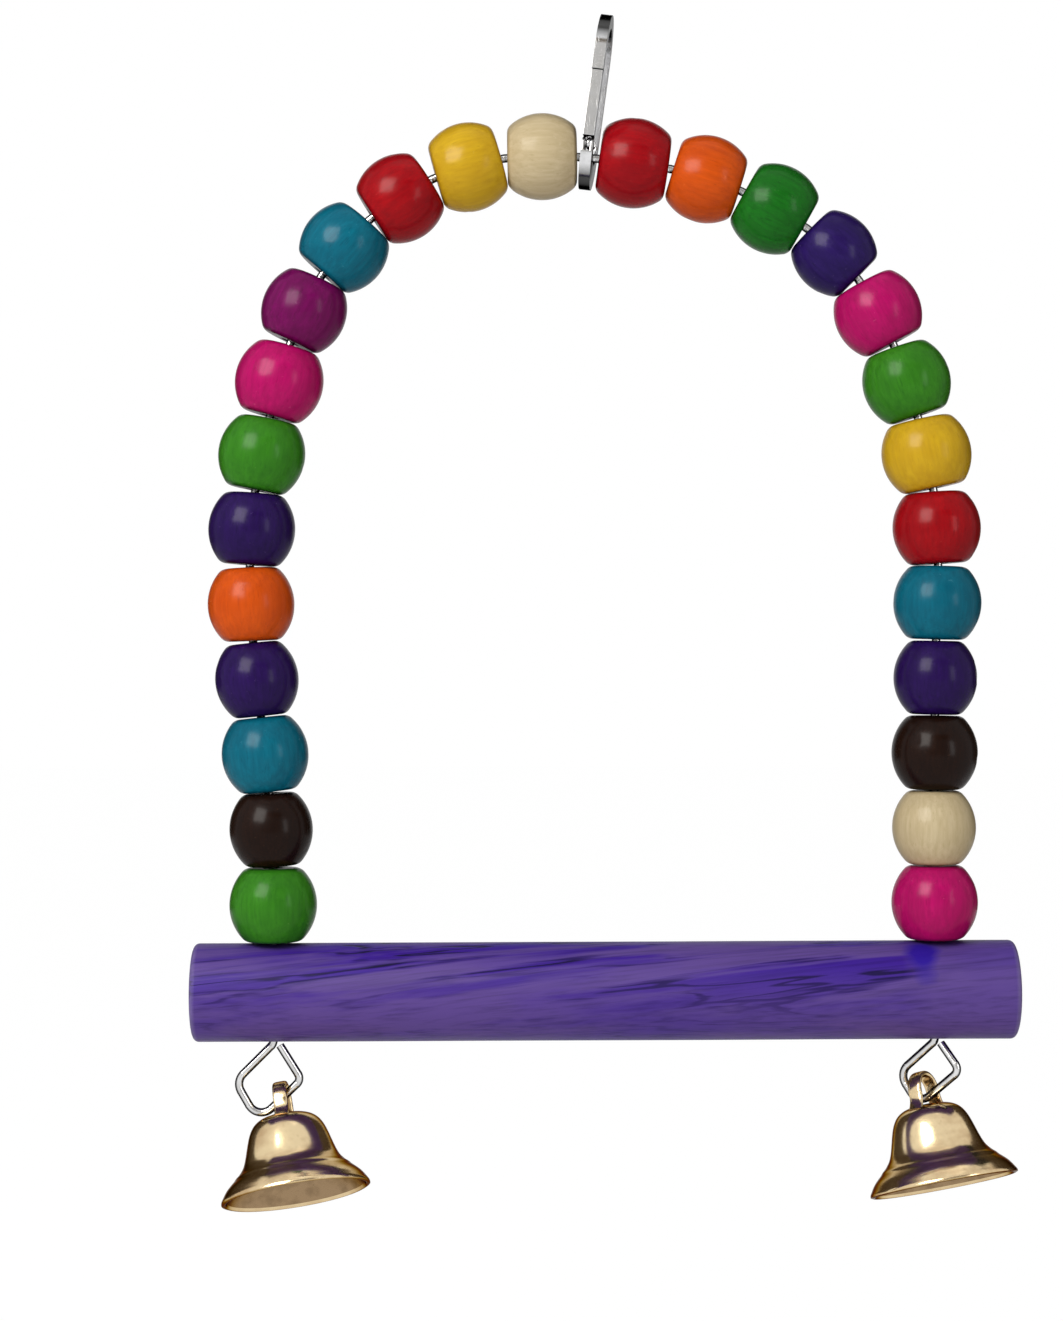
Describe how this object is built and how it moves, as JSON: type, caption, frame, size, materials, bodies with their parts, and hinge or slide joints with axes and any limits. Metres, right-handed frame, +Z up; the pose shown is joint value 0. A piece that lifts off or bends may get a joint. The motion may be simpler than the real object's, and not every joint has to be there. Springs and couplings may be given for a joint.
{
  "type": "bird swing",
  "caption": "Bird swing with a bead-threaded wire arch, a dowel perch, a bell under each end and a snap hook that clips to a cage bar.",
  "frame": {"origin": "centre of the snap hook's upper bow, where the cage bar lies", "axes": "+Z up, +X to the right, and the pictured front faces -Y"},
  "size_m": [0.1373, 0.0264, 0.2011],
  "materials": {
    "nickel": "bright nickel plate, flat sides and softened edges",
    "pin_steel": "plain drawn steel",
    "spring_steel": "bright drawn spring wire",
    "wire_steel": "bright nickel-plated wire",
    "bell_brass": "polished and lacquered, with faint turning marks",
    "clapper_brass": "plain brass",
    "perch_paint": "violet dye, streaked along the grain, with fine scratches",
    "wood_cream": "dyed and lacquered, satin",
    "wood_yellow": "dyed and lacquered, satin",
    "wood_red": "dyed and lacquered, satin",
    "wood_teal": "dyed and lacquered, satin",
    "wood_plum": "dyed and lacquered, satin",
    "wood_pink": "dyed and lacquered, satin",
    "wood_green": "dyed and lacquered, satin",
    "wood_violet": "dyed and lacquered, satin",
    "wood_orange": "dyed and lacquered, satin",
    "wood_brown": "dyed and lacquered, satin",
    "wood_dark_green": "dyed and lacquered, satin",
    "wood_indigo": "dyed and lacquered, satin"
  },
  "bodies": {
    "hook": {"hook_body": "nickel", "gate_pin": "pin_steel"},
    "gate": {"hook_gate": "nickel", "gate_spring": "spring_steel"},
    "swing": {"frame_wire": "wire_steel", "perch": "perch_paint"},
    "left_bell": {"left_bell": "bell_brass", "left_staple": "pin_steel"},
    "left_clapper": {"left_clapper": "clapper_brass"},
    "right_bell": {"right_bell": "bell_brass", "right_staple": "pin_steel"},
    "right_clapper": {"right_clapper": "clapper_brass"},
    "left_bead_01": {"left_bead_01": "wood_cream"},
    "left_bead_02": {"left_bead_02": "wood_yellow"},
    "left_bead_03": {"left_bead_03": "wood_red"},
    "left_bead_04": {"left_bead_04": "wood_teal"},
    "left_bead_05": {"left_bead_05": "wood_plum"},
    "left_bead_06": {"left_bead_06": "wood_pink"},
    "left_bead_07": {"left_bead_07": "wood_green"},
    "left_bead_08": {"left_bead_08": "wood_violet"},
    "left_bead_09": {"left_bead_09": "wood_orange"},
    "left_bead_10": {"left_bead_10": "wood_violet"},
    "left_bead_11": {"left_bead_11": "wood_teal"},
    "left_bead_12": {"left_bead_12": "wood_brown"},
    "left_bead_13": {"left_bead_13": "wood_green"},
    "right_bead_01": {"right_bead_01": "wood_red"},
    "right_bead_02": {"right_bead_02": "wood_orange"},
    "right_bead_03": {"right_bead_03": "wood_dark_green"},
    "right_bead_04": {"right_bead_04": "wood_indigo"},
    "right_bead_05": {"right_bead_05": "wood_pink"},
    "right_bead_06": {"right_bead_06": "wood_green"},
    "right_bead_07": {"right_bead_07": "wood_yellow"},
    "right_bead_08": {"right_bead_08": "wood_red"},
    "right_bead_09": {"right_bead_09": "wood_teal"},
    "right_bead_10": {"right_bead_10": "wood_violet"},
    "right_bead_11": {"right_bead_11": "wood_brown"},
    "right_bead_12": {"right_bead_12": "wood_cream"},
    "right_bead_13": {"right_bead_13": "wood_pink"}
  },
  "joints": [
    {"name": "gate_hinge", "type": "hinge", "parent": "hook", "child": "gate", "pos_m": [-0.00255, -0.00518, -0.0157], "axis": [-0.9878, 0.0785, 0.1344], "range_deg": [0, 28], "stiffness_Nm_per_rad": 0.002, "springref_deg": -20.05},
    {"name": "swing_hinge", "type": "hinge", "parent": "hook", "child": "swing", "pos_m": [-0.00233, 0, -0.01714], "axis": [0.9962, 0, -0.0872], "range_deg": [-60, 60]},
    {"name": "left_bell_swing", "type": "hinge", "parent": "swing", "child": "left_bell", "pos_m": [-0.05356, 0, -0.17442], "axis": [0.9833, 0, 0.1822], "range_deg": [-20, 60]},
    {"name": "right_bell_swing", "type": "hinge", "parent": "swing", "child": "right_bell", "pos_m": [0.05423, 0.00097, -0.17482], "axis": [0.7812, -0.547, 0.3007], "range_deg": [-35, 50]},
    {"name": "left_clapper_swing", "type": "hinge", "parent": "left_bell", "child": "left_clapper", "pos_m": [-0.0526, -0.00193, -0.17964], "axis": [0.9833, 0, 0.1822], "range_deg": [-32, 32]},
    {"name": "right_clapper_swing", "type": "hinge", "parent": "right_bell", "child": "right_clapper", "pos_m": [0.05487, -0.00003, -0.17833], "axis": [0.7812, -0.547, 0.3007], "range_deg": [-32, 32]},
    {"name": "left_bead_01_spin", "type": "hinge", "parent": "swing", "child": "left_bead_01", "pos_m": [-0.01012, 0, -0.01696], "axis": [-0.9998, 0, -0.0175], "continuous": true},
    {"name": "left_bead_02_spin", "type": "hinge", "parent": "swing", "child": "left_bead_02", "pos_m": [-0.0225, 0, -0.01872], "axis": [-0.9613, 0, -0.2756], "continuous": true},
    {"name": "left_bead_03_spin", "type": "hinge", "parent": "swing", "child": "left_bead_03", "pos_m": [-0.03385, 0, -0.02393], "axis": [-0.8387, 0, -0.5446], "continuous": true},
    {"name": "left_bead_04_spin", "type": "hinge", "parent": "swing", "child": "left_bead_04", "pos_m": [-0.04325, 0, -0.03215], "axis": [-0.6494, 0, -0.7604], "continuous": true},
    {"name": "left_bead_05_spin", "type": "hinge", "parent": "swing", "child": "left_bead_05", "pos_m": [-0.04994, 0, -0.04271], "axis": [-0.4147, 0, -0.91], "continuous": true},
    {"name": "left_bead_06_spin", "type": "hinge", "parent": "swing", "child": "left_bead_06", "pos_m": [-0.05408, 0, -0.05457], "axis": [-0.2672, 0, -0.9636], "continuous": true},
    {"name": "left_bead_07_spin", "type": "hinge", "parent": "swing", "child": "left_bead_07", "pos_m": [-0.05701, 0, -0.06681], "axis": [-0.1908, 0, -0.9816], "continuous": true},
    {"name": "left_bead_08_spin", "type": "hinge", "parent": "swing", "child": "left_bead_08", "pos_m": [-0.05868, 0, -0.07928], "axis": [-0.0698, 0, -0.9976], "continuous": true},
    {"name": "left_bead_09_spin", "type": "hinge", "parent": "swing", "child": "left_bead_09", "pos_m": [-0.0588, 0, -0.09187], "axis": [0.0436, 0, -0.999], "continuous": true},
    {"name": "left_bead_10_spin", "type": "hinge", "parent": "swing", "child": "left_bead_10", "pos_m": [-0.05783, 0, -0.10442], "axis": [0.1045, 0, -0.9945], "continuous": true},
    {"name": "left_bead_11_spin", "type": "hinge", "parent": "swing", "child": "left_bead_11", "pos_m": [-0.05646, 0, -0.11695], "axis": [0.1045, 0, -0.9945], "continuous": true},
    {"name": "left_bead_12_spin", "type": "hinge", "parent": "swing", "child": "left_bead_12", "pos_m": [-0.05544, 0, -0.1295], "axis": [0.0523, 0, -0.9986], "continuous": true},
    {"name": "left_bead_13_spin", "type": "hinge", "parent": "swing", "child": "left_bead_13", "pos_m": [-0.0551, 0, -0.1421], "axis": [0.0087, 0, -1], "continuous": true},
    {"name": "right_bead_01_spin", "type": "hinge", "parent": "swing", "child": "right_bead_01", "pos_m": [0.00517, 0, -0.01804], "axis": [0.9903, 0, -0.1392], "continuous": true},
    {"name": "right_bead_02_spin", "type": "hinge", "parent": "swing", "child": "right_bead_02", "pos_m": [0.01737, 0, -0.02071], "axis": [0.9537, 0, -0.3007], "continuous": true},
    {"name": "right_bead_03_spin", "type": "hinge", "parent": "swing", "child": "right_bead_03", "pos_m": [0.02878, 0, -0.0257], "axis": [0.8704, 0, -0.4924], "continuous": true},
    {"name": "right_bead_04_spin", "type": "hinge", "parent": "swing", "child": "right_bead_04", "pos_m": [0.03875, 0, -0.03312], "axis": [0.7071, 0, -0.7071], "continuous": true},
    {"name": "right_bead_05_spin", "type": "hinge", "parent": "swing", "child": "right_bead_05", "pos_m": [0.04606, 0, -0.04314], "axis": [0.4695, 0, -0.8829], "continuous": true},
    {"name": "right_bead_06_spin", "type": "hinge", "parent": "swing", "child": "right_bead_06", "pos_m": [0.05087, 0, -0.05466], "axis": [0.3173, 0, -0.9483], "continuous": true},
    {"name": "right_bead_07_spin", "type": "hinge", "parent": "swing", "child": "right_bead_07", "pos_m": [0.0542, 0, -0.06671], "axis": [0.2079, 0, -0.9781], "continuous": true},
    {"name": "right_bead_08_spin", "type": "hinge", "parent": "swing", "child": "right_bead_08", "pos_m": [0.0559, 0, -0.07908], "axis": [0.061, 0, -0.9981], "continuous": true},
    {"name": "right_bead_09_spin", "type": "hinge", "parent": "swing", "child": "right_bead_09", "pos_m": [0.05601, 0, -0.09159], "axis": [-0.0262, 0, -0.9997], "continuous": true},
    {"name": "right_bead_10_spin", "type": "hinge", "parent": "swing", "child": "right_bead_10", "pos_m": [0.05569, 0, -0.10411], "axis": [-0.0175, 0, -0.9998], "continuous": true},
    {"name": "right_bead_11_spin", "type": "hinge", "parent": "swing", "child": "right_bead_11", "pos_m": [0.05557, 0, -0.11663], "axis": [-0.0087, 0, -1], "continuous": true},
    {"name": "right_bead_12_spin", "type": "hinge", "parent": "swing", "child": "right_bead_12", "pos_m": [0.05547, 0, -0.12915], "axis": [0, 0, -1], "continuous": true},
    {"name": "right_bead_13_spin", "type": "hinge", "parent": "swing", "child": "right_bead_13", "pos_m": [0.05557, 0, -0.14167], "axis": [0.0087, 0, -1], "continuous": true}
  ]
}
